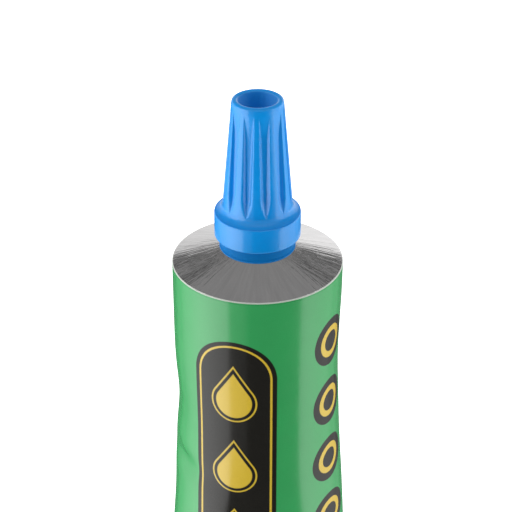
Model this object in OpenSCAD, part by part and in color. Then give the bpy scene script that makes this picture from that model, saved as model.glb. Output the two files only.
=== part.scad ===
// Collapsible aluminium glue tube with a fluted screw cap.
// Millimetres. Z runs up the tube's axis, from the foot of the end fold to the rim of the cap.
// X runs along the end fold and Y across it.

/* [Tube] */
// Outside diameter of the tube at its round end
tube_d = 22; // [20:0.2:26.6]
// Height of the shoulder's edge above the foot of the end fold
tube_len = 108; // [85:1:135]
// Thickness of the side wall
wall = 0.15; // [0.12:0.01:0.18]
// Length of the round part below the rim
round_len = 31; // [24:1:40]
// Length over which the round part eases into the flat sides, on each side of its end
ease_len = 8; // [5:0.5:12]
// Thickness of the baked print coat
coat_t = 0.06; // [0.04:0.01:0.1]

/* [Shoulder and neck] */
// Slope of the bare shoulder
shoulder_slope = 16.8; // [14:0.4:22]
// Thickness of the shoulder
shoulder_t = 0.45; // [0.35:0.05:0.6]
// Height of the bare rim above the print coat
rim_h = 0.3; // [0.25:0.05:0.5]
// Diameter of the neck at the root of its thread
neck_d = 6.3; // [5.2:0.05:6.4]
// Height of the thread's ridge above the neck
thread_rise = 0.32; // [0.2:0.02:0.4]
// Height of the neck's straight part above its foot on the shoulder
neck_h = 3.3; // [2.6:0.1:3.8]
// Diameter of the bore inside the neck
neck_bore_d = 4.4; // [3.8:0.1:4.8]
// Diameter of the nozzle at its foot on the neck
nozzle_d = 4.2; // [3.6:0.1:4.4]
// Diameter of the nozzle at its closed tip
nozzle_tip_d = 3.5; // [3:0.1:3.6]
// Height of the nozzle above the neck
nozzle_h = 2.4; // [1.8:0.1:3]
// Diameter of the bore inside the nozzle
nozzle_bore_d = 2.2; // [1.6:0.1:2.4]
// Thickness of the membrane that closes the nozzle's tip
membrane_t = 0.15; // [0.1:0.01:0.25]

/* [End fold] */
// Height of the folded end
fold_h = 5; // [4:0.2:7]
// Thickness of one flattened layer of the tube, two walls and a film between them
layer_t = 0.4; // [0.38:0.01:0.5]
// Gap between the layers of the fold
layer_gap = 0.15; // [0.1:0.01:0.25]
// Height of the sealant band above the fold
sealant_h = 5; // [3:0.5:9]

/* [Cap] */
// Height of the cap from the edge of its skirt to its rim
cap_h = 20.45; // [17:0.05:24.6]
// Diameter of the cap's rim
rim_d = 6.42; // [6.2:0.02:6.8]
// Widening of the cone on each side, in degrees
cone_slope = 4.96; // [4.2:0.1:5.6]
// Diameter of the collar
collar_d = 11; // [10.8:0.1:12.5]
// Height of the collar
collar_h = 3.35; // [2.4:0.05:3.6]
// Diameter of the lip at the foot of the skirt
skirt_d = 9.76; // [9.4:0.02:10]
// Height of the skirt below the collar
skirt_h = 1.85; // [1.3:0.05:2.2]
// Depth of the hollow above the skirt's lip
undercut = 0.15; // [0.1:0.05:0.4]
// Radius of the hollow between cone and collar
flare_r = 1.1; // [0.9:0.05:1.2]
// Diameter of the well at the cap's rim
well_d = 4.9; // [4.7:0.02:5.1]
// Draught of the well on each side, in degrees
well_draught = 0.6; // [0.3:0.1:0.8]
// Thickness of the web between the well and the thread bore
web_t = 1.2; // [0.8:0.1:1.6]
// Diameter of the piercing spike at its foot
spike_d = 2.2; // [1.6:0.1:2.6]
// Depth of the spike's tip below the rim of the cap
spike_drop = 1.6; // [1.4:0.1:2.2]
// Number of flutes round the cone
flute_count = 11; // [8:1:12]
// Width of the flutes at the foot of the cone
flute_w_low = 1.2; // [1:0.02:1.24]
// Width of the flutes where they run out at the top
flute_w_top = 1.3; // [1:0.02:1.34]
// Slope of the flutes' walls away from straight out, in degrees
flute_wall = 30; // [20:1:36]
// Depth of the flutes at the foot of the cone
flute_depth_low = 0.44; // [0.36:0.02:0.5]
// Depth of the flutes where they begin to run out at the top
flute_depth_top = 0.3; // [0.2:0.02:0.34]
// Bare height between the flutes' upper ends and the rim
flute_top_gap = 1; // [0.8:0.1:2]
// Turn of the first flute about the axis, in degrees
flute_turn = 14; // [0:1:32]
// Thickness of the sealing liner in the cap
liner_t = 0.4; // [0.3:0.05:0.6]

/* [Fits] */
// Gap between cap and shoulder and between cap and thread
cap_gap = 0.08; // [0.06:0.01:0.12]
// Gap between the liner and what it seals against
liner_gap = 0.03; // [0.02:0.01:0.05]
// Gap between the filling and the wall round it
fill_gap = 0.1; // [0.06:0.01:0.15]
// Gap between the print coat and the metal under it
coat_gap = 0.02; // [0.015:0.005:0.03]

/* [Hidden] */
$fn = 64;

// Tube heights and radii
edge_z = tube_len;
rim_r = tube_d / 2;
wall_r = rim_r - coat_t - coat_gap;
slope = tan(shoulder_slope);
around = 64;
levels = 8;

// Fold across its thickness
fold_t = 3 * layer_t + 2 * layer_gap;
fold_side = 0.15;
bend_r = 0.2;
sunk = 0.01;
fold_w = PI * wall_r + 2 * fold_side;
layer_half = layer_t / 2 - sunk;
fold_shift = fold_t / 2 - layer_t / 2;

// Straight flanks between the fold and the round part, and where the walls part above the fold
film_half = 0.06;
least_parting = 0.2;
flank_h = edge_z - rim_h - round_len - fold_h;
opening = wall + coat_gap + film_half - layer_half;
parting_h = max(least_parting, opening * flank_h / (wall_r - layer_half));

// Heights of the sections that wall, coat, sealant and filling share, from the fold up
weld = 0.15;
low_z = fold_h + parting_h;
band_z = low_z + sealant_h;
ease_low_z = edge_z - rim_h - round_len - ease_len;
ease_top_z = ease_low_z + 2 * ease_len;
print_z = edge_z - rim_h - coat_gap;
rows = concat([low_z, band_z], heights(ease_low_z, ease_top_z), [print_z]);
weld_z = edge_z - rim_h + weld;

// Neck and nozzle heights, and the throat between their bores
edge_round = 0.15;
neck_bevel = 0.3;
tip_bevel = 0.2;
neck_r = neck_d / 2;
neck_foot_z = edge_z + (rim_r - neck_r) * slope;
neck_top_z = neck_foot_z + neck_h;
tip_z = neck_top_z + nozzle_h;
throat_low_z = neck_top_z - 1.6;
throat_top_z = neck_top_z - 0.8;

// Cap heights and radii
soft_r = 0.15;
lip_r = 0.1;
deck_r = 0.25;
well_lip_r = 0.12;
nozzle_room = 0.35;
skirt_r = skirt_d / 2;
collar_r = collar_d / 2;
top_r = rim_d / 2;
seat_z = edge_z + (rim_r - skirt_r) * slope + cap_gap;
collar_z = seat_z + skirt_h;
deck_z = collar_z + collar_h;
cap_z = seat_z + cap_h;
cone_tan = tan(cone_slope);
bore_r = neck_r + thread_rise + cap_gap;
liner_z = tip_z + liner_gap;
web_z = liner_z + liner_t + liner_gap;
floor_z = web_z + web_t;
cavity_r = nozzle_d / 2 + nozzle_room;
liner_r = cavity_r - cap_gap;
well_r = well_d / 2;
floor_r = well_r - (cap_z - floor_z) * tan(well_draught);
spike_z = cap_z - spike_drop;

// Radius of the cone at height z
function cone_r(z) = top_r + (cap_z - z) * cone_tan;

// Points of an arc about (x, y)
function arc(x, y, r, from, to, steps) =
    [for (i = [0 : steps]) let (a = from + (to - from) * i / steps) [x + r * cos(a), y + r * sin(a)]];

// Share of the way from round to flat at height z: none on the round part, then even, with an eased start
function flat_share(z) =
    let (down = edge_z - rim_h - round_len - z)
    let (eased = pow(max(0, down + ease_len), 2) / (4 * ease_len))
    min(1, (down < ease_len ? eased : down) / flank_h);

// Half thickness of the tube at height z, before any inset
function half_thick(z) = wall_r + (layer_half - wall_r) * flat_share(z);

// Section of the tube at height z, moved inwards by the inset: two flat sides between half rounds.
// The flat sides grow as the half rounds shrink, so the girth stays that of the round end.
function section(z, inset) =
    let (b = half_thick(z) - inset)
    let (s = PI / 2 * (wall_r - half_thick(z)))
    let (y = -fold_shift * flat_share(z))
    [for (i = [0 : around - 1])
        let (a = 360 * (i + 0.5) / around)
        [b * cos(a) + s * sign(cos(a)), y + b * sin(a), z]];

// Even steps between two heights, and a list from its end to its start
function heights(z0, z1) = [for (i = [0 : levels]) z0 + (z1 - z0) * i / levels];
function turned(list) = [for (i = [len(list) - 1 : -1 : 0]) list[i]];

// Solid inside a row of sections, closed at both ends or joined end to start
module skin(rings, joined = false) {
    n = len(rings[0]);
    m = len(rings);
    spans = joined ? m : m - 1;
    sides = [for (i = [0 : spans - 1], j = [0 : n - 1])
        let (a = i * n + j, b = i * n + (j + 1) % n)
        let (c = ((i + 1) % m) * n + (j + 1) % n, d = ((i + 1) % m) * n + j)
        each [[a, d, c], [a, c, b]]];
    ends = joined ? [] : [[for (j = [0 : n - 1]) j], [for (j = [n - 1 : -1 : 0]) (m - 1) * n + j]];
    polyhedron([for (r = rings) each r], concat(sides, ends), convexity = 8);
}

// Side wall, from inside the fold up to inside the rim
module side_wall() {
    outer = concat([fold_h - layer_t, fold_h + coat_gap], rows, [weld_z]);
    inner = concat(rows, [weld_z]);
    skin(concat([for (z = outer) section(z, 0)], [for (z = turned(inner)) section(z, wall)]));
}

// Flattened end, folded over twice, drawn across its thickness
module end_fold() {
    h = fold_t / 2;
    rotate([90, 0, 90])
    linear_extrude(height = fold_w, center = true)
    difference() {
        polygon(concat(
            arc(-h + bend_r, bend_r, bend_r, 180, 270, 4),
            arc(h - bend_r, bend_r, bend_r, 270, 360, 4),
            arc(h - bend_r, fold_h - bend_r, bend_r, 0, 90, 4),
            [[-h, fold_h]]));
        // Gap between the outer layer and the turned-in one
        translate([-h + layer_t, layer_t]) square([layer_gap, fold_h]);
        // Gap under the turned-in layer
        translate([-h + layer_t, layer_t]) square([fold_t - 2 * layer_t, layer_gap]);
        // Gap behind the turned-in layer
        translate([h - layer_t - layer_gap, layer_t]) square([layer_gap, fold_h - 2 * layer_t]);
    }
}

// Bare shoulder, neck and closed nozzle
module head() {
    in_r = rim_r - shoulder_t;
    drop = shoulder_t / cos(shoulder_slope);
    bore_r1 = neck_bore_d / 2;
    bore_r2 = nozzle_bore_d / 2;
    rotate_extrude()
    polygon(concat(
        [[in_r, edge_z - rim_h], [rim_r, edge_z - rim_h]],
        arc(rim_r - edge_round, edge_z - edge_round * (1 - slope), edge_round, 0, 90 - shoulder_slope, 3),
        [[neck_r, neck_foot_z],
         [neck_r, neck_top_z - neck_bevel],
         [neck_r - neck_bevel, neck_top_z],
         [nozzle_d / 2, neck_top_z],
         [nozzle_tip_d / 2, tip_z - tip_bevel],
         [nozzle_tip_d / 2 - tip_bevel, tip_z],
         [0, tip_z],
         [0, tip_z - membrane_t],
         [bore_r2, tip_z - membrane_t],
         [bore_r2, throat_top_z],
         [bore_r1, throat_low_z],
         [bore_r1, edge_z + (rim_r - bore_r1) * slope - drop],
         [in_r, edge_z + shoulder_t * slope - drop]]));
}

module tube_body() {
    color([0.76, 0.76, 0.77])
    union() {
        head();
        side_wall();
        end_fold();
    }
}

// Printed enamel over the side wall
module print_coat() {
    levels_z = concat([fold_h + coat_gap], rows);
    color([0.16, 0.55, 0.30])
    skin(concat(
        [for (z = levels_z) section(z, -coat_gap - coat_t)],
        [for (z = turned(levels_z)) section(z, -coat_gap)]), true);
}

// Sealing band between the walls above the fold
module end_sealant() {
    color([0.86, 0.83, 0.74])
    skin([for (z = [low_z + coat_gap, band_z]) section(z, wall + coat_gap)]);
}

// Filling, with its column in the neck
module glue_gel() {
    crown_step = 0.25;
    crown_h = 3;
    high = print_z - crown_step;
    between = [for (z = rows) if (z > band_z + 1 && z < high - 1) z];
    levels_z = concat([band_z + fill_gap], between, [high]);
    drop = (shoulder_t + fill_gap) / cos(shoulder_slope);
    crown_r = wall_r - wall - fill_gap - crown_step;
    column_r = neck_bore_d / 2 - fill_gap;
    point_r = nozzle_bore_d / 2 - fill_gap;
    color([0.87, 0.88, 0.84])
    union() {
        skin([for (z = levels_z) section(z, wall + fill_gap)]);
        rotate_extrude()
        polygon([
            [0, high - crown_h],
            [crown_r, high - crown_h],
            [crown_r, edge_z + (rim_r - crown_r) * slope - drop],
            [column_r, edge_z + (rim_r - column_r) * slope - drop],
            [column_r, throat_low_z - fill_gap],
            [point_r, throat_top_z - 2 * fill_gap],
            [point_r, tip_z - membrane_t - fill_gap],
            [0, tip_z - membrane_t - fill_gap]]);
    }
}

// Soft disc that closes on the nozzle's tip
module cap_liner() {
    color([0.93, 0.93, 0.91])
    translate([0, 0, liner_z]) cylinder(r = liner_r, h = liner_t);
}

// Section of a flute at height z: a floor and two sloping walls that end in the air outside the cap
function flute_section(z, floor_x, floor_half) =
    let (reach = 1.2)
    let (open_half = floor_half + reach * tan(flute_wall))
    [[floor_x, -floor_half, z],
     [floor_x + reach, -open_half, z],
     [floor_x + reach, open_half, z],
     [floor_x, floor_half, z]];

// One flute: a channel that comes to a point on the flare and runs out on the cone near the rim
module flute() {
    run_out_h = 2.6;
    foot_rise = 0.75;
    end_rise = 0.45;
    clear = 0.01;
    flare_z = deck_z + flare_r;
    end_z = deck_z + end_rise;
    foot_z = flare_z + foot_rise;
    point_z = cap_z - flute_top_gap;
    top_z = point_z - run_out_h;
    end_x = cone_r(flare_z) + flare_r - sqrt(pow(flare_r, 2) - pow(flare_z - end_z, 2));
    foot_half = flute_w_low / 2 - flute_depth_low * tan(flute_wall);
    top_half = flute_w_top / 2 - flute_depth_top * tan(flute_wall);
    skin([
        flute_section(end_z, end_x + clear, clear),
        flute_section(foot_z, cone_r(foot_z) - flute_depth_low, foot_half),
        flute_section(top_z, cone_r(top_z) - flute_depth_top, top_half),
        flute_section(point_z, cone_r(point_z) + clear, flute_w_top / 2)]);
}

// Cap with collar, skirt, thread bore, well and piercing spike
module screw_cap() {
    spike_tip_r = 0.08;
    spike_neck_r = 0.22;
    spike_point_h = 0.2;
    step_low_z = neck_top_z + 0.2;
    step_top_z = neck_top_z + 0.6;
    flare_z = deck_z + flare_r;
    flare_x = cone_r(flare_z) + flare_r;
    in_z = edge_z + (rim_r - bore_r) * slope + cap_gap;
    color([0.01, 0.36, 0.66])
    difference() {
        rotate_extrude()
        polygon(concat(
            [[bore_r, in_z]],
            [[skirt_r - lip_r, seat_z + lip_r * slope]],
            arc(skirt_r - lip_r, seat_z + 2 * lip_r, lip_r, -60, 60, 4),
            [[skirt_r - undercut, seat_z + 4 * lip_r]],
            [[skirt_r - undercut, collar_z]],
            arc(collar_r - soft_r, collar_z + soft_r, soft_r, -90, 0, 4),
            arc(collar_r - deck_r, deck_z - deck_r, deck_r, 0, 80, 4),
            arc(flare_x, flare_z, flare_r, 265, 180 + cone_slope, 8),
            arc(top_r - soft_r, cap_z - soft_r, soft_r, 0, 90, 4),
            arc(well_r + well_lip_r, cap_z - well_lip_r, well_lip_r, 90, 180, 3),
            [[floor_r, floor_z],
             [spike_d / 2, floor_z],
             [spike_neck_r, spike_z - spike_point_h],
             [spike_tip_r, spike_z],
             [0, spike_z],
             [0, web_z],
             [cavity_r, web_z],
             [cavity_r, step_top_z],
             [bore_r, step_low_z]]));
        for (i = [0 : flute_count - 1])
            rotate([0, 0, flute_turn - 90 + i * 360 / flute_count]) flute();
    }
}

tube_body();
print_coat();
end_sealant();
glue_gel();
cap_liner();
screw_cap();
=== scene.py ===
"""Looks of a collapsible aluminium glue tube with a fluted screw cap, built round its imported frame."""
import math

import bpy
import numpy as np
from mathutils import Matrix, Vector


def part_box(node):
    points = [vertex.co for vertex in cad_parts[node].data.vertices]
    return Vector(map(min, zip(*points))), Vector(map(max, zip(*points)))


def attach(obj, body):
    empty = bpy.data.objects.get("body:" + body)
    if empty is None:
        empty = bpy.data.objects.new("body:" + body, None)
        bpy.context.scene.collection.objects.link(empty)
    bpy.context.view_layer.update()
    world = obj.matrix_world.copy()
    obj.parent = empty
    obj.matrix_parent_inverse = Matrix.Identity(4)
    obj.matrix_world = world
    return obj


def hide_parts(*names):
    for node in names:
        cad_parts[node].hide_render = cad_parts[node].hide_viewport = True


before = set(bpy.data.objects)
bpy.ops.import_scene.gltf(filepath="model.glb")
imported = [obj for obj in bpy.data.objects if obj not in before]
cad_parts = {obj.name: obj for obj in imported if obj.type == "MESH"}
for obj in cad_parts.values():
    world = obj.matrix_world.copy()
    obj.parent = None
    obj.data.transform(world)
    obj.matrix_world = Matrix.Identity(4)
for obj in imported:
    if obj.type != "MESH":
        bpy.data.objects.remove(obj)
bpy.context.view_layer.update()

MM = 0.001
PI = math.pi


def corners(node):
    """Lowest and highest corner of a node of the frame, in millimetres."""
    low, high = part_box(node)
    return np.array(low) / MM, np.array(high) / MM


def shoulder_z(r):
    """Height of the shoulder's cone at a distance from the axis."""
    return edge_z + (rim_r - r) * slope


tube_low, tube_high = corners("tube_body")
coat_low, coat_high = corners("print_coat")
band_low, band_high = corners("end_sealant")
liner_low, liner_high = corners("cap_liner")
cap_high = corners("screw_cap")[1]

# Fits and thin layers, in millimetres as all sizes of the object
coat_t = 0.06
coat_gap = 0.02
cap_gap = 0.08
liner_gap = 0.03
fill_gap = 0.1
wall = 0.15

# Tube
rim_r = tube_high[1]
rim_h = 0.3
edge_z = coat_high[2] + rim_h + coat_gap
edge_round = 0.15
rim_z = edge_z - rim_h
wall_r = rim_r - coat_t - coat_gap
round_len = 31
ease_len = 8
fill_chamfer = 0.25

# Folded end of the tube: three layers, with waves given by height, rate and shift
fold_h = coat_low[2] - coat_gap
fold_w = tube_high[0] - tube_low[0]
flank_h = rim_z - round_len - fold_h
layer_t = 0.4
layer_gap = 0.15
layer_inset = 0.01
layer_half = layer_t / 2 - layer_inset
fold_t = 3 * layer_t + 2 * layer_gap
fold_shift = (fold_t - layer_t) / 2
fold_bend = 0.2
fold_end = 0.985
fold_end_in = 0.06
fold_waves = ((0.035, 0.9, 0.4), (0.02, 2.3, 0))
parting_z = band_low[2] - coat_gap
wall_tuck = 0.1

# Dents of the wall, bulges negative: girth from the front, depth below the edge, width, height, how far in
dents = (
    (-17.5, 20, 7, 4.5, 0.42),
    (-17.5, 30, 7, 5, -0.14),
    (17.5, 13.5, 7, 7, 0.28),
    (17.5, 36, 7, 11, -0.5),
    (-12.2, 28.7, 3.4, 1.7, 0.52),
    (-22, 52, 5, 9, 0.35),
)
dent_ease = 6

# Shoulder, neck and nozzle
shoulder_slope = 16.8
slope = math.tan(math.radians(shoulder_slope))
slant = math.hypot(1, slope)
shoulder_t = 0.45
shoulder_drop = shoulder_t * slant
neck_r = 3.15
neck_h = 3.3
neck_round = 0.3
neck_spread = 0.05
neck_root = 0.1
neck_bore_r = 2.2
nozzle_r = 2.1
nozzle_tip_r = 1.75
nozzle_round = 0.2
nozzle_bore_r = 1.1
throat_low_drop = 1.6
throat_top_drop = 0.8
membrane_t = 0.15
neck_foot_r = neck_r + neck_spread
neck_foot_z = shoulder_z(neck_r)
neck_top_z = neck_foot_z + neck_h
throat_low_z = neck_top_z - throat_low_drop
throat_top_z = neck_top_z - throat_top_drop
tip_z = tube_high[2]

# Thread of neck and cap: the ridge's half width and its flank are shares of the lead
thread_rise = 0.32
thread_lead = 1.5
thread_half = 0.25
thread_flank = 0.09
thread_fade = 0.35
thread_end = 0.1
thread_end_bore = 0.15
thread_z = neck_foot_z + thread_end

# Cap
cap_z = cap_high[2]
collar_r = cap_high[0]
skirt_r = 4.88
skirt_h = 1.85
lip_r = 0.1
undercut = 0.15
collar_h = 3.35
collar_round = 0.15
deck_round = 0.25
top_r = 3.21
cone_draft = 4.96
cone_tan = math.tan(math.radians(cone_draft))
flare_r = 1.1
rim_band = 0.6
carved_z = cap_z - rim_band
seat_z = shoulder_z(skirt_r) + cap_gap
collar_z = seat_z + skirt_h
deck_z = collar_z + collar_h

# Inside of the cap
bore_r = neck_r + thread_rise + cap_gap
bore_foot_z = shoulder_z(bore_r) + cap_gap
cavity_gap = 0.35
cavity_r = nozzle_r + cavity_gap
step_gap = 0.2
step_z = neck_top_z + step_gap
step_h = 0.4
web_t = 1.2
web_z = liner_high[2] + liner_gap

# Well in the cap's rim, with the spike: its tip is given by radius and depth
floor_z = web_z + web_t
floor_round = 0.25
well_r = 2.45
well_draft = 0.6
well_lip_r = 0.28
rim_round = 0.32
spike_r = 1.1
spike_round = 0.2
spike_drop = 1.6
spike_z = cap_z - spike_drop
spike_tip = ((0.22, 0.2), (0.14, 0.05), (0.06, 0))

# Flutes of the cap: four heights, the distance of the floor from the axis there, and half its width
flute_count = 11
flute_turn = 14
flute_w_low = 1.2
flute_w_top = 1.3
flute_lean = 30
flute_wall = math.tan(math.radians(flute_lean))
flute_depth_low = 0.64
flute_depth_top = 0.42
flute_window = 0.2
flute_end_rise = 0.45
flute_low_rise = 1.5
flute_top_drop = 3.6
flute_end_drop = 1
flute_ease = 0.8
least_floor = 0.02
least_side = 0.03
flare_z = deck_z + flare_r
flare_x = top_r + (cap_z - flare_z) * cone_tan + flare_r
flute_z = np.array([deck_z + flute_end_rise, flare_z + flute_low_rise,
                    cap_z - flute_top_drop, cap_z - flute_end_drop])
flute_x = top_r + (cap_z - flute_z) * cone_tan - [0, flute_depth_low, flute_depth_top, 0]
flute_x[0] = flare_x - math.sqrt(flare_r ** 2 - (flare_r - flute_end_rise) ** 2)
flute_floor = np.array([0, flute_w_low / 2 - flute_depth_low * flute_wall,
                        flute_w_top / 2 - flute_depth_top * flute_wall, flute_w_top / 2])

# Generic print: girth from the front and depth below the edge
print_soft = 0.05
panel_girth = -3.1
panel_half = 5.6
panel_top = 6
panel_foot = 80
keyline_inset = 0.75
keyline_half = 0.14
drop_r = 2.4
drop_tall = 4.4
drop_first = 15.2
drop_pitch = 11.6
drop_count = 6
drop_line_out = 0.55
drop_line_half = 0.11
disc_girth = 11.4
disc_r = 3.5
disc_first = 9.0
disc_pitch = 9.4
disc_count = 8
disc_ring_r = 1.9
disc_ring_half = 0.42

# Mesh: points round the tube and round hidden pieces, and the angles where rings of tube and cap start
around = 240
around_hidden = 96
shell_rows = 150
coat_rows = 190
gel_rows = 70
fold_rows = 90
sharp_angle = 38
back = PI / 2
cap_start = math.radians(flute_turn - 90) - flute_window

# Colours, linear
WHITE = (1, 1, 1, 1)
GREEN = (0.030, 0.280, 0.082, 1)
CHARCOAL = (0.0105, 0.0100, 0.0085, 1)
YELLOW = (0.600, 0.420, 0.035, 1)
LACQUER = (0.50, 0.54, 0.49, 1)
METAL = (0.80, 0.79, 0.79, 1)
BLUE = (0.0008, 0.275, 0.745, 1)
BLUE_DEEP = (0.0006, 0.252, 0.705, 1)
# Painted shade: a darker blue for the skirt under the collar
BLUE_PAINTED_SHADE = (0.0004, 0.165, 0.480, 1)
GEL = (0.72, 0.74, 0.68, 1)
GEL_PALE = (0.80, 0.81, 0.76, 1)
FOAM = (0.85, 0.85, 0.82, 1)
FOAM_DULL = (0.76, 0.76, 0.73, 1)
SEALANT = (0.70, 0.65, 0.50, 1)
SEALANT_DULL = (0.60, 0.55, 0.42, 1)
FLOOR = (0.90, 0.90, 0.90, 1)
FLOOR_PALE = (0.93, 0.93, 0.93, 1)


# Shapes

def arc(x, z, r, start, end, steps):
    """Points of an arc about (x, z), between two angles in degrees."""
    a = np.radians(np.linspace(start, end, steps + 1))
    return [(x + r * c, z + r * s) for c, s in zip(np.cos(a), np.sin(a))]


def subdivide(outline, step):
    """The same outline with points added, so that none are further apart than the step, and none twice."""
    slack = 1e-6
    points = [outline[0]]
    for p, q in zip(outline, outline[1:]):
        count = math.ceil(math.dist(p, q) / step - slack)
        points += [tuple(np.array(p) + (np.array(q) - p) * i / count) for i in range(1, count + 1)]
    return points


def circle(r, z, count=around, start=back):
    """Ring at height z, counterclockwise from above, with one radius or one for each point."""
    a = start + np.arange(count) / count * 2 * PI
    return np.stack([r * np.cos(a), r * np.sin(a), np.full(count, z)], 1)


def turned(outline, step, count=around, start=back):
    """Rings through an outline of radius and height."""
    return [circle(r, z, count, start) for r, z in subdivide(outline, step)]


def build(name, verts, faces):
    """Object from vertices in millimetres, smooth except across sharp corners."""
    mesh = bpy.data.meshes.new(name)
    mesh.from_pydata((np.asarray(verts) * MM).tolist(), [], faces)
    mesh.validate()
    mesh.polygons.foreach_set("use_smooth", np.ones(len(mesh.polygons), bool))
    mesh.set_sharp_from_angle(angle=math.radians(sharp_angle))
    piece = bpy.data.objects.new(name, mesh)
    bpy.context.scene.collection.objects.link(piece)
    return piece


def quads(rows, count, joined):
    """Faces between rows of points, each row a closed ring."""
    spans = rows if joined else rows - 1
    i, j = np.divmod(np.arange(spans * count), count)
    low, high = i * count, (i + 1) % rows * count
    after = (j + 1) % count
    return np.stack([low + j, high + j, high + after, low + after], 1).tolist()


def ring_skin(name, rings, joined=False, poles=None):
    """Closed surface through rings, joined last to first or closed by a point at each end."""
    count, rows = len(rings[0]), len(rings)
    verts = np.concatenate(rings)
    faces = quads(rows, count, joined)
    if poles:
        first, last = len(verts), len(verts) + 1
        verts = np.concatenate([verts, poles])
        end = (rows - 1) * count
        for j in range(count):
            after = (j + 1) % count
            faces.append((first, j, after))
            faces.append((last, end + after, end + j))
    return build(name, verts, faces)


# Tube

def flat_share(z):
    """Share of the way from round to flat: none on the round part, then even, with an eased start."""
    down = rim_z - round_len - z
    eased = max(0, down + ease_len) ** 2 / (4 * ease_len)
    return min(1, (eased if down < ease_len else down) / flank_h)


def dent(girth, depth):
    """How far the wall is pressed in, by place round the girth and depth below the edge."""
    return sum(deep * np.exp(-((girth - at) / wide) ** 2 - ((depth - down) / tall) ** 2)
               for at, down, wide, tall, deep in dents)


def tube_ring(z, inset, count=around):
    """Ring of the tube at height z, at even steps of girth: two flat sides between half rounds."""
    share = flat_share(z)
    half = wall_r + (layer_half - wall_r) * share
    side = PI / 2 * (wall_r - half)
    r = half - inset
    place = np.arange(count) / count - 0.5
    run = np.abs(place) * (2 * PI * r + 4 * side)
    turn = np.clip((run - side) / r - PI / 2, -PI / 2, PI / 2)
    x = np.where(run < side, run, side + r * np.cos(turn))
    x = np.where(run > side + PI * r, 2 * side + PI * r - run, x)
    pressed = dent(place * 2 * PI * wall_r, edge_z - z) * (1 - share) * min(1, (rim_z - z) / dent_ease)
    x = np.sign(place) * (x - pressed * np.cos(turn))
    y = (r - pressed) * np.sin(turn) - fold_shift * share
    return np.stack([x, y, np.full(count, z)], 1)


def thread(z, low, high, place):
    """Share of the thread's full rise at height z, by shares of a turn from the back, faded at both ends."""
    phase = ((z - thread_z) / thread_lead - place) % 1
    ridge = np.clip((thread_half - np.abs(phase - 0.5)) / thread_flank, 0, 1)
    fade = np.clip(np.minimum(z - low, high - z) / thread_fade, 0, 1)
    return ridge * fade


def make_neck():
    """Closed nozzle and threaded neck of the aluminium extrusion, with the bore inside."""
    pole_r = 0.6
    place = np.arange(around) / around
    tip_x, tip_low = nozzle_tip_r - nozzle_round, tip_z - nozzle_round
    top_x, top_low = neck_r - neck_round, neck_top_z - neck_round
    head = [(pole_r, tip_z), (tip_x, tip_z)]
    head += arc(tip_x, tip_low, nozzle_round, 90, 0, steps=5)
    head += [(nozzle_r, neck_top_z), (top_x, neck_top_z)]
    head += arc(top_x, top_low, neck_round, 90, 0, steps=5)
    rings = turned(head, step=0.3)
    for r, z in subdivide([(neck_r, top_low), (neck_r, thread_z)], step=0.07)[1:]:
        rise = thread(z, thread_z, neck_top_z - thread_end, place)
        rings.append(circle(r + thread_rise * rise, z))
    inner_tip_z = tip_z - membrane_t
    foot = [(neck_foot_r, neck_foot_z), (neck_bore_r, neck_foot_z), (neck_bore_r, throat_low_z),
            (nozzle_bore_r, throat_top_z), (nozzle_bore_r, inner_tip_z)]
    rings += turned(foot, step=0.6)
    return ring_skin("tube_neck", rings, poles=[(0, 0, tip_z), (0, 0, inner_tip_z)])


def make_shell():
    """Shoulder, rim and wall of the aluminium extrusion, with its inside."""
    edge_low = edge_z - edge_round * (1 - slope)
    edge = arc(rim_r - edge_round, edge_low, edge_round, 90 - shoulder_slope, 0, steps=6)
    root_r = neck_foot_r + neck_root
    brim = [(neck_foot_r, neck_foot_z), (root_r, shoulder_z(root_r)), edge[0]]
    rings = turned(brim, step=0.2) + [circle(r, z) for r, z in edge[1:]]
    rings += [circle(rim_r, rim_z), circle(wall_r, rim_z)]
    rows = np.linspace(rim_z - coat_gap, parting_z, shell_rows)
    rings += [tube_ring(z, 0) for z in rows]
    rings += [tube_ring(fold_h - wall_tuck, 0)]
    rings += [tube_ring(z, wall) for z in rows[::-3]]
    inner_r = rim_r - shoulder_t
    inside = [(inner_r, shoulder_z(inner_r) - shoulder_drop),
              (neck_bore_r, shoulder_z(neck_bore_r) - shoulder_drop),
              (neck_bore_r, neck_foot_z)]
    rings += turned(inside, step=0.6)
    return ring_skin("tube_shell", rings, joined=True)


def make_coat():
    """Printed enamel over the side wall, with its own map: girth from the front, depth below the edge."""
    rows = np.linspace(coat_high[2], coat_low[2], coat_rows)
    outer = [tube_ring(z, -coat_gap - coat_t) for z in rows]
    inner = [tube_ring(z, -coat_gap) for z in rows[::-1]]
    piece = ring_skin("enamel_coat", outer + inner, joined=True)
    depth = edge_z - np.concatenate([rows, rows[::-1], rows[:1]])
    girth = (np.arange(around + 1) / around - 0.5) * 2 * PI * wall_r
    i, j = np.divmod(np.arange(2 * len(rows) * around), around)
    places = [(i, j), (i + 1, j), (i + 1, j + 1), (i, j + 1)]
    uv = np.stack([np.stack([girth[b], depth[a]], 1) for a, b in places], 1)
    layer = piece.data.uv_layers.new(name="print")
    layer.uv.foreach_set("vector", uv.astype(np.float32).ravel())
    return piece


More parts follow.
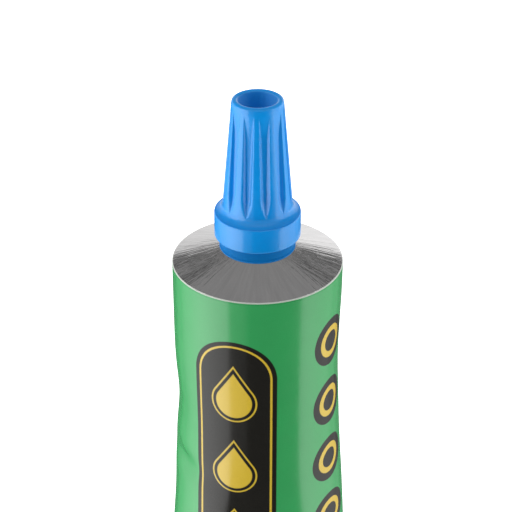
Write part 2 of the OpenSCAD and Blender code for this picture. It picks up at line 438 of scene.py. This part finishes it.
def make_fold():
    """The flattened end: one strip folded under, up the back and in again, drawn across and run along X."""
    bend_z = layer_t / 2 + fold_bend
    over = fold_shift / 2
    top = fold_h - layer_t / 2 - over
    path = [(-fold_shift, fold_h), (-fold_shift, bend_z)]
    path += arc(-fold_shift + fold_bend, bend_z, fold_bend, 180, 270, steps=6)
    path += arc(fold_shift - fold_bend, bend_z, fold_bend, 270, 360, steps=6)
    path += arc(over, top, over, 0, 180, steps=10)
    path += [(0, layer_t + layer_gap)]
    line = np.array(subdivide(path, step=0.3))
    along = np.gradient(line, axis=0)
    along /= np.linalg.norm(along, axis=1)[:, None]
    out = np.stack([along[:, 1], -along[:, 0]], 1) * layer_t / 2
    outline = np.concatenate([line + out, (line - out)[::-1]])
    rings = []
    for share in np.linspace(-1, 1, fold_rows):
        x = share * fold_w / 2
        drawn_in = fold_end_in * max(0, abs(share) - fold_end) / (1 - fold_end)
        ring = outline * [1 - drawn_in, 1]
        wave = sum(height * math.sin(x * rate + shift) for height, rate, shift in fold_waves)
        ring[:, 0] = np.clip(ring[:, 0] + wave * ring[:, 1] / fold_h, -fold_t / 2, fold_t / 2)
        rings.append(np.column_stack([np.full(len(ring), x), ring]))
    count, rows = len(outline), len(rings)
    faces = quads(rows, count, False)
    for k in range(len(line) - 1):
        face = (k, k + 1, count - 2 - k, count - 1 - k)
        faces.append(face)
        faces.append(tuple((rows - 1) * count + v for v in reversed(face)))
    return build("end_fold", np.concatenate(rings), faces)


def make_gel():
    """The filling, pressed in where the wall is."""
    inset = wall + fill_gap
    low = band_high[2] + fill_gap
    high = coat_high[2] - fill_chamfer
    drop = shoulder_drop + fill_gap * slant
    crown_r = wall_r - inset - fill_chamfer
    bore, jet = neck_bore_r - fill_gap, nozzle_bore_r - fill_gap
    jet_top = tip_z - membrane_t - fill_gap
    rings = [tube_ring(z, inset, around_hidden) for z in np.linspace(low, high, gel_rows)]
    crown = [(crown_r, shoulder_z(crown_r) - drop), (bore, shoulder_z(bore) - drop),
             (bore, throat_low_z - fill_gap), (jet, throat_top_z - 2 * fill_gap), (jet, jet_top)]
    rings += turned(crown, step=0.6, count=around_hidden)
    foot = (0, -fold_shift * flat_share(low), low)
    return ring_skin("gel_fill", rings[::-1], poles=[(0, 0, jet_top), foot])


# Cap

def cone_r(z):
    """Distance of the cap's cone from the axis at height z."""
    return top_r + (cap_z - z) * cone_tan


def along_flute(z, values):
    """Value at a height of the flutes, rounded off where its slope changes."""
    samples = 9
    reach = min(flute_ease, z - flute_z[0], flute_z[-1] - z)
    return np.interp(z + reach * np.linspace(-1, 1, samples), flute_z, values).mean()


def fluted_ring(r, z):
    """Ring of radius r with the flutes cut in, each in a window of its own, and ribs between the windows."""
    floor_steps, side_steps, margin_steps, rib_steps = 4, 6, 2, 8
    smoothings = 4
    at = np.clip(z, flute_z[0], flute_z[-1])
    depth = max(0, r - along_flute(at, flute_x)) if at == z else 0
    half = max(least_floor, along_flute(at, flute_floor))
    opening = half + max(least_side, depth * flute_wall)
    radius = np.concatenate([np.full(floor_steps + 1, r - depth),
                             np.linspace(r - depth, r, side_steps + 1)[1:],
                             np.full(margin_steps, r)])
    width = np.concatenate([np.linspace(0, half, floor_steps + 1),
                            np.linspace(half, opening, side_steps + 1)[1:]])
    angle = width / radius[:len(width)]
    angle = np.concatenate([angle, np.linspace(angle[-1], flute_window, margin_steps + 1)[1:]])
    beyond = max(flute_z[0] - z, z - flute_z[-1], 0) / flute_end_rise
    angle += (np.linspace(0, flute_window, len(angle)) - angle) * min(1, beyond)
    pitch = 2 * PI / flute_count
    between = np.linspace(flute_window, pitch - flute_window, rib_steps + 1)[1:-1]
    angle = np.concatenate([-angle[:0:-1], angle, between])
    radius = np.concatenate([radius[:0:-1], radius, np.full(len(between), r)])
    turn = math.radians(flute_turn - 90) + np.arange(flute_count)[:, None] * pitch + angle
    ring = np.stack([radius * np.cos(turn), radius * np.sin(turn)], 2).reshape(-1, 2)
    for _ in range(smoothings):
        ring = ring / 2 + (np.roll(ring, 1, 0) + np.roll(ring, -1, 0)) / 4
    if depth == 0:
        ring *= r / np.hypot(*ring.T)[:, None]
    return np.column_stack([ring, np.full(len(ring), z)])


def make_cap():
    """Skirt, collar, flare, fluted cone, rim, well with its spike, and the bore with its thread."""
    pole_r = 0.5
    count = len(fluted_ring(top_r, cap_z))
    inside = [(pole_r, web_z), (cavity_r, web_z), (cavity_r, step_z + step_h), (bore_r, step_z)]
    bore = subdivide([(bore_r, step_z), (bore_r, bore_foot_z)], step=0.09)[1:]
    base = [bore[-1], (skirt_r - lip_r, seat_z + lip_r * slope)]
    base += arc(skirt_r - lip_r, seat_z + 2 * lip_r, lip_r, -60, 60, steps=6)
    base += [(skirt_r - undercut, seat_z + 4 * lip_r), (skirt_r - undercut, collar_z)]
    base += arc(collar_r - collar_round, collar_z + collar_round, collar_round, -90, 0, steps=6)
    base += arc(collar_r - deck_round, deck_z - deck_round, deck_round, 0, 80, steps=6)
    carved = arc(flare_x, flare_z, flare_r, 265, 180 + cone_draft, steps=18)
    carved += [(cone_r(carved_z), carved_z)]
    rim = arc(top_r - rim_round, cap_z - rim_round, rim_round, 5, 90, steps=8)
    rim += arc(well_r + well_lip_r, cap_z - well_lip_r, well_lip_r, 90, 180, steps=8)
    floor_r = well_r - (cap_z - floor_z) * math.tan(math.radians(well_draft))
    well = [rim[-1], (floor_r, floor_z + floor_round)]
    well += arc(floor_r - floor_round, floor_z + floor_round, floor_round, 0, -90, steps=4)
    well += arc(spike_r + spike_round, floor_z + spike_round, spike_round, 270, 186, steps=4)
    well += [(r, spike_z - depth) for r, depth in spike_tip]
    rings = turned(inside, 0.4, count, cap_start)
    # The ridge of the bore lies half a turn from the neck's, in its groove
    place = np.arange(count) / count + (cap_start - back) / (2 * PI) - 0.5
    for r, z in bore:
        rise = thread(z, bore_foot_z + thread_end_bore, step_z, place)
        rings.append(circle(r - thread_rise * rise, z, count, cap_start))
    rings += turned(base, 0.3, count, cap_start)[1:]
    rings += [fluted_ring(r, z) for r, z in subdivide(carved, step=0.18)]
    rings += [circle(r, z, count, cap_start) for r, z in rim]
    rings += turned(well, 0.5, count, cap_start)[1:]
    return ring_skin("cap", rings[::-1], poles=[(0, 0, spike_z), (0, 0, web_z)])


def make_liner():
    """The sealing disc, rounded at its edge and pressed in a little by the nozzle's tip."""
    pole_r = 0.3
    round_r = 0.1
    inner_rise = 0.02
    mark_inset = 0.25
    mark_r = nozzle_tip_r - mark_inset
    mark = ((-0.2, inner_rise), (0, 0.07), (0.25, 0.05), (0.35, 0))
    r = liner_high[0]
    low, high = liner_low[2], liner_high[2]
    outline = [(pole_r, low + inner_rise)] + [(mark_r + out, low + up) for out, up in mark]
    outline += arc(r - round_r, low + round_r, round_r, -90, 0, steps=5)
    outline += arc(r - round_r, high - round_r, round_r, 0, 90, steps=5)
    outline += [(pole_r, high)]
    rings = turned(outline, step=0.2, count=around_hidden)
    return ring_skin("liner", rings[::-1], poles=[(0, 0, high), (0, 0, low + inner_rise)])


# Materials

class Nodes:
    """Short way to write a node tree: each call adds a node and gives back its output."""

    def __init__(self, tree):
        self.tree = tree

    def put(self, socket, value):
        """Links or sets an input."""
        if isinstance(value, bpy.types.NodeSocket):
            self.tree.links.new(value, socket)
        else:
            socket.default_value = value

    def node(self, kind, inputs=(), output=0, **settings):
        node = self.tree.nodes.new(kind)
        for key, value in settings.items():
            setattr(node, key, value)
        for key, value in dict(inputs).items():
            self.put(node.inputs[key], value)
        return node.outputs[output]

    def math(self, operation, *values):
        return self.node("ShaderNodeMath", enumerate(values), operation=operation)

    def add(self, first, second):
        return self.math("ADD", first, second)

    def less(self, first, second):
        return self.math("SUBTRACT", first, second)

    def times(self, first, second):
        return self.math("MULTIPLY", first, second)

    def most(self, first, second):
        return self.math("MAXIMUM", first, second)

    def size(self, value):
        return self.math("ABSOLUTE", value)

    def length(self, x, y):
        return self.math("SQRT", self.add(self.times(x, x), self.times(y, y)))

    def ramp(self, value, start, end, low=0.0, high=1.0):
        """A value carried from one range to another, and held at the ends."""
        inputs = {"Value": value, "From Min": start, "From Max": end, "To Min": low, "To Max": high}
        return self.node("ShaderNodeMapRange", inputs)

    def spread(self, noise, low=0.0, high=1.0):
        """Noise carried to a range, from the middle where most of it lies."""
        start, end = 0.3, 0.7
        return self.ramp(noise, start, end, low, high)

    def blend(self, share, first, second):
        """Value between two others."""
        return self.node("ShaderNodeMix", {0: share, 2: first, 3: second})

    def mix(self, share, first, second):
        """Colour between two others."""
        return self.node("ShaderNodeMix", {0: share, 6: first, 7: second}, output=2, data_type="RGBA")

    def noise(self, vector, scale, detail=3.0):
        return self.node("ShaderNodeTexNoise", {"Vector": vector, "Scale": scale, "Detail": detail})

    def split(self, vector):
        node = self.tree.nodes.new("ShaderNodeSeparateXYZ")
        self.put(node.inputs[0], vector)
        return node.outputs

    def join(self, x, y, z):
        return self.node("ShaderNodeCombineXYZ", {0: x, 1: y, 2: z})


class Paint(Nodes):
    """Material with its shader."""

    def __init__(self, name):
        self.material = bpy.data.materials.new(name)
        self.material.use_nodes = True
        super().__init__(self.material.node_tree)
        self.shader = self.tree.nodes["Principled BSDF"]

    def place(self):
        return self.node("ShaderNodeTexCoord", output="Object")

    def bump(self, height):
        """Normal from a height in millimetres."""
        inputs = {"Height": height, "Distance": MM, "Strength": 1.0}
        return self.node("ShaderNodeBump", inputs, output="Normal")

    def set(self, **values):
        """Sets inputs of the shader, named with underscores for spaces."""
        for key, value in values.items():
            self.put(self.shader.inputs[key.replace("_", " ")], value)
        return self.material


def shade(colour, factor):
    """The colour made darker or lighter."""
    return tuple(c * factor for c in colour[:3]) + (1,)


def enamel(name, printed):
    """Glossy baked enamel. Where it is printed, its map gives girth and depth in millimetres."""
    shine, ink_shine, ink_h = 0.5, 0.25, 0.004
    p = Paint(name)
    at = p.place()
    fine = p.noise(at, 9000, 2)
    broad = p.noise(at, 160)
    tone = p.add(p.times(fine, 0.5), p.times(broad, 0.5))
    colour = p.mix(p.spread(tone), GREEN, shade(GREEN, 1.14))
    height = p.times(p.noise(at, 2200, 2), 0.0012)
    if printed:
        dark, bright = print_masks(p)
        grain = p.spread(fine)
        charcoal = p.mix(grain, CHARCOAL, shade(CHARCOAL, 1.5))
        yellow = p.mix(grain, YELLOW, shade(YELLOW, 0.9))
        colour = p.mix(bright, p.mix(dark, colour, charcoal), yellow)
        height = p.add(height, p.times(p.add(dark, bright), ink_h))
        shine = p.ramp(p.less(dark, bright), 0.0, 1.0, shine, ink_shine)
    rough = p.spread(p.noise(at, 700), 0.15, 0.21)
    return p.set(Base_Color=colour, Roughness=rough, IOR=1.5, Specular_IOR_Level=shine,
                 Normal=p.bump(height))


def print_masks(p):
    """Dark and yellow shares of the print: a rounded panel of drops and a column of ringed discs."""
    girth, depth = p.split(p.node("ShaderNodeUVMap", uv_map="print"))[:2]

    def inside(distance):
        return p.ramp(distance, print_soft, -print_soft)

    def line(distance, half):
        """Distance from a line along an edge."""
        return p.less(p.size(distance), half)

    def stadium(middle, top, foot, half):
        """Distance from a tall panel with half round ends."""
        y = p.less(depth, (top + foot) / 2)
        beyond = p.most(p.less(p.size(y), (foot - top) / 2 - half), 0.0)
        return p.less(p.length(p.less(girth, middle), beyond), half)

    def repeat(first, pitch, count):
        """Depth measured from the nearest of several evenly spaced places."""
        index = p.math("ROUND", p.math("DIVIDE", p.less(depth, first), pitch))
        index = p.math("MINIMUM", p.most(index, 0.0), count - 1.0)
        return p.less(p.less(depth, first), p.times(index, pitch))

    def drop(x, y, r, tall):
        """Distance from a drop with its point up."""
        s = r / tall
        c = math.sqrt(1 - s * s)
        side = p.size(x)
        up = p.times(y, -1.0)
        edge = p.add(p.times(side, c), p.times(up, s))
        above = p.math("GREATER_THAN", p.times(up, c), p.times(side, s))
        return p.less(p.blend(above, p.length(x, y), edge), r)

    panel = stadium(panel_girth, panel_top, panel_foot, panel_half)
    keyline = line(p.less(panel, -keyline_inset), keyline_half)
    drops = drop(p.less(girth, panel_girth), repeat(drop_first, drop_pitch, drop_count), drop_r, drop_tall)
    outline = line(p.less(drops, drop_line_out), drop_line_half)
    disc = p.length(p.less(girth, disc_girth), repeat(disc_first, disc_pitch, disc_count))
    ring = line(p.less(disc, disc_ring_r), disc_ring_half)
    dark = p.most(inside(panel), inside(p.less(disc, disc_r)))
    bright = p.most(inside(drops), inside(outline))
    bright = p.most(bright, p.most(inside(keyline), inside(ring)))
    return dark, bright


def aluminium():
    """Bare drawn metal, streaked outwards on the shoulder, with a line of base lacquer on the rim."""
    lacquer_start, lacquer_end = rim_r - 0.11, rim_r - 0.08
    lacquer_low = edge_z - 2 * rim_h
    lacquer_soft = 0.05
    green_start, green_end = edge_z - 0.09, edge_z - 0.13
    least_reach = 0.0001
    p = Paint("bare_aluminium")
    x, y, z = p.split(p.place())
    reach = p.most(p.length(x, y), least_reach)
    way = p.join(p.math("DIVIDE", x, reach), p.math("DIVIDE", y, reach), p.times(reach, 12.0))
    streak = p.noise(way, 20)
    broad = p.noise(way, 7, 2)
    outside = p.times(p.ramp(reach, lacquer_start * MM, lacquer_end * MM),
                      p.ramp(z, lacquer_low * MM, (lacquer_low + lacquer_soft) * MM))
    enamelled = p.times(outside, p.ramp(z, green_start * MM, green_end * MM))
    metal = p.mix(p.spread(streak), shade(METAL, 0.90), METAL)
    colour = p.mix(enamelled, p.mix(outside, metal, LACQUER), GREEN)
    rough = p.spread(p.add(p.times(streak, 0.6), p.times(broad, 0.4)), 0.09, 0.16)
    bare = p.less(1.0, outside)
    height = p.times(p.times(streak, 0.04), bare)
    return p.set(Base_Color=colour, Metallic=bare, Roughness=rough, Normal=p.bump(height))


def plastic():
    """Glossy blue moulding with a faint flow in its colour, duller in the well and under the collar, where
    shade is also painted in as a darker blue.
    """
    core_start, core_end = well_r + 0.06, well_r + 0.01
    core_low = floor_z - 0.2
    side_soft, top_soft = 0.02, 0.05
    shine, under_shine = 0.5, 0.08
    p = Paint("blue_plastic")
    at = p.place()
    x, y, z = p.split(at)
    reach = p.length(x, y)
    core = p.times(p.ramp(reach, core_start * MM, core_end * MM), p.ramp(z, core_low * MM, floor_z * MM))
    # Painted shade under the collar: the blue is darkened there, and the moulding is made duller
    under_shade_and_dull = p.times(p.ramp(reach, (skirt_r + side_soft) * MM, (skirt_r - side_soft) * MM),
                    p.ramp(z, (collar_z + top_soft) * MM, (collar_z - top_soft) * MM))
    colour = p.mix(p.ramp(p.noise(at, 220), 0.35, 0.65), BLUE, BLUE_DEEP)
    colour = p.mix(under_shade_and_dull, colour, BLUE_PAINTED_SHADE)
    gloss = p.spread(p.noise(at, 900), 0.17, 0.23)
    rough = p.add(gloss, p.times(p.most(core, under_shade_and_dull), 0.4))
    shine = p.ramp(under_shade_and_dull, 0.0, 1.0, shine, under_shine)
    height = p.times(p.noise(at, 1500, 2), 0.0015)
    return p.set(Base_Color=colour, Roughness=rough, Specular_IOR_Level=shine, Normal=p.bump(height))


def mottled(name, first, second, scale, rough, relief):
    """Soft or thick stuff with a mottled colour and a fine relief."""
    rough_span = 0.12
    p = Paint(name)
    at = p.place()
    cloud = p.noise(at, scale, 4)
    colour = p.mix(p.ramp(cloud, 0.35, 0.65), first, second)
    finish = p.spread(cloud, rough, rough + rough_span)
    height = p.times(p.noise(at, scale * 4), relief)
    return p.set(Base_Color=colour, Roughness=finish, Normal=p.bump(height))


# The object

def wear(piece, material, body, node, reflected=True):
    """Lets a piece stand for a node of the frame, and says whether it shows in mirror reflections."""
    piece.data.materials.append(material)
    piece.visible_glossy = reflected
    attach(piece, body)
    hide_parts(node)


def make_object():
    """Every piece, with its material, in place of its node. The sealant keeps its node."""
    metal = aluminium()
    wear(make_shell(), metal, "tube", "tube_body")
    wear(make_neck(), metal, "tube", "tube_body", reflected=False)
    wear(make_coat(), enamel("green_enamel_printed", True), "tube", "print_coat")
    wear(make_fold(), enamel("green_enamel_plain", False), "tube", "tube_body")
    gel = mottled("gel", GEL, GEL_PALE, scale=120, rough=0.08, relief=0.002)
    wear(make_gel(), gel, "tube", "glue_gel", reflected=False)
    wear(make_cap(), plastic(), "cap", "screw_cap", reflected=False)
    foam = mottled("liner_foam", FOAM, FOAM_DULL, scale=2500, rough=0.6, relief=0.01)
    wear(make_liner(), foam, "liner", "cap_liner", reflected=False)
    latex = mottled("sealant", SEALANT, SEALANT_DULL, scale=800, rough=0.55, relief=0.01)
    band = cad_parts["end_sealant"]
    band.data.materials.clear()
    band.data.materials.append(latex)


# Studio, in metres

def make_floor():
    """White floor just under the object, which lights nothing and shows in no reflection."""
    size = 3.0
    below = 0.0001
    mesh = bpy.data.meshes.new("floor")
    outline = [(-size, -size, 0), (size, -size, 0), (size, size, 0), (-size, size, 0)]
    mesh.from_pydata(outline, [], [(0, 1, 2, 3)])
    floor = bpy.data.objects.new("floor", mesh)
    floor.location.z = -below
    bpy.context.scene.collection.objects.link(floor)
    p = Paint("floor")
    colour = p.mix(p.spread(p.noise(p.place(), 3, 2)), FLOOR, FLOOR_PALE)
    floor.data.materials.append(p.set(Base_Color=colour, Roughness=0.9,
                                      Emission_Color=WHITE, Emission_Strength=0.95))
    floor.visible_diffuse = False
    floor.visible_glossy = False
    floor.visible_shadow = False


def softbox(name, place, target, size, radiance, diffuse=True, glossy=True):
    """Rectangular area light that faces a target, with what it shows in."""
    light = bpy.data.lights.new(name, "AREA")
    light.shape = "RECTANGLE"
    light.size, light.size_y = size
    light.energy = PI * light.size * light.size_y * radiance
    lamp = bpy.data.objects.new(name, light)
    lamp.location = place
    way = Vector(target) - Vector(place)
    lamp.rotation_euler = way.to_track_quat("-Z", "Y").to_euler()
    lamp.visible_camera = False
    lamp.visible_diffuse = diffuse
    lamp.visible_glossy = glossy
    bpy.context.scene.collection.objects.link(lamp)


def make_tent(middle):
    """Walls of soft light for the colours: name, way out, rise, size and radiance."""
    room = 0.9
    half = room / 2
    wide, strip = (2 * room, 2 * room), (2 * room, room)
    walls = (
        ("left_high", (-1, 0, 0), half, strip, 1.4),
        ("left_low", (-1, 0, 0), -half, strip, 4.0),
        ("right_high", (1, 0, 0), half, strip, 0.9),
        ("right_low", (1, 0, 0), -half, strip, 3.2),
        ("front", (0, -1, 0), 0, wide, 0.35),
        ("back", (0, 1, 0), 0, wide, 1.0),
        ("top", (0, 0, 1), 0, wide, 0.9),
        ("floor", (0, 0, -1), 0, wide, 1.6),
    )
    for name, out, rise, size, level in walls:
        inside = middle + Vector((0, 0, rise))
        softbox("tent_" + name, inside + room * Vector(out), inside, size, level, glossy=False)


def make_cards(middle):
    """Cards for the reflections: sides in upright strips, lower at the back, and one at the front left."""
    strips = 14
    foot, top, top_at_back = -0.6, 0.3, 0.05
    low_from, end = 0.164, 0.52
    level_at = (-0.5, -0.16, -0.05, 0.11, 0.24, 0.3)
    sides = (
        ("left", -0.45, -0.56, (2.7, 3.1, 2.7, 1.3, 0.7, 0.25)),
        ("right", 0.45, -0.26, (2.0, 2.0, 1.7, 0.95, 0.6, 0.25)),
    )
    for side, x, start, levels in sides:
        joints = np.linspace(start, end, strips + 1)
        for i, (near, far) in enumerate(zip(joints, joints[1:])):
            y = (near + far) / 2
            head = top if y < low_from else top_at_back
            z = (head + foot) / 2
            size = (far - near, head - foot)
            level = np.interp(y, level_at, levels)
            softbox("card_%s_%d" % (side, i), (x, y, z), (0, y, z), size, level, diffuse=False)
    front_place, front_size, front_level = (-0.41, -0.8, -0.1), (0.35, 1.0), 0.5
    softbox("card_step", front_place, middle, front_size, front_level, diffuse=False)


def make_world():
    """White to look at; in reflections a striped ceiling, a pale sweep behind, and dark low in front."""
    world = bpy.data.worlds.new("studio")
    bpy.context.scene.world = world
    world.use_nodes = True
    p = Nodes(world.node_tree)
    # By direction: x to the right, y to the back and z up
    x, y, z = p.split(p.node("ShaderNodeTexCoord", output="Generated"))
    stripes = p.times(p.ramp(z, 0.40, 0.46, 0.0, 0.13), p.ramp(z, 0.78, 0.70))
    stripes = p.times(stripes, p.math("SINE", p.times(z, 36.0)))
    ceiling = p.add(p.ramp(z, 0.654, 0.80, 0.18, 0.25), stripes)
    ceiling = p.add(ceiling, p.ramp(y, -0.05, -0.2, 0.0, 0.5))
    sweep = p.times(p.ramp(x, -0.4, 0.4, 0.69, 1.1), p.ramp(z, -0.38, -0.26, 0.15, 1.0))
    ground = p.ramp(z, -0.80, -0.88, 0.01, 0.6)
    back_low = p.times(p.ramp(y, 0.0, 0.3), p.ramp(z, 0.371, 0.323))
    front_low = p.times(p.ramp(y, 0.3, 0.0), p.ramp(z, 0.1, -0.1))
    level = p.blend(front_low, p.blend(back_low, ceiling, sweep), ground)
    level = p.times(level, p.node("ShaderNodeLightPath", output="Is Glossy Ray"))
    level = p.blend(p.node("ShaderNodeLightPath", output="Is Camera Ray"), level, 1.0)
    background = p.tree.nodes["Background"]
    p.put(background.inputs["Strength"], level)
    p.put(background.inputs["Color"], WHITE)


def make_camera():
    """Camera at the height, pitch and field of view of the reference view."""
    field, pitch = math.radians(19.51), math.radians(30.38)
    left, front, above_edge = 0.0002, 0.1651, 0.0971
    camera = bpy.data.cameras.new("camera")
    camera.sensor_width = 36
    camera.angle = field
    camera.clip_start = 0.01
    view = bpy.data.objects.new("camera", camera)
    view.location = (-left, -front, edge_z * MM + above_edge)
    view.rotation_euler = (PI / 2 - pitch, 0, 0)
    bpy.context.scene.collection.objects.link(view)
    bpy.context.scene.camera = view


make_object()
make_floor()
light_middle = Vector((0, 0, 0.11))
make_tent(light_middle)
make_cards(light_middle)
make_world()
make_camera()
bpy.context.scene.view_settings.view_transform = "Standard"
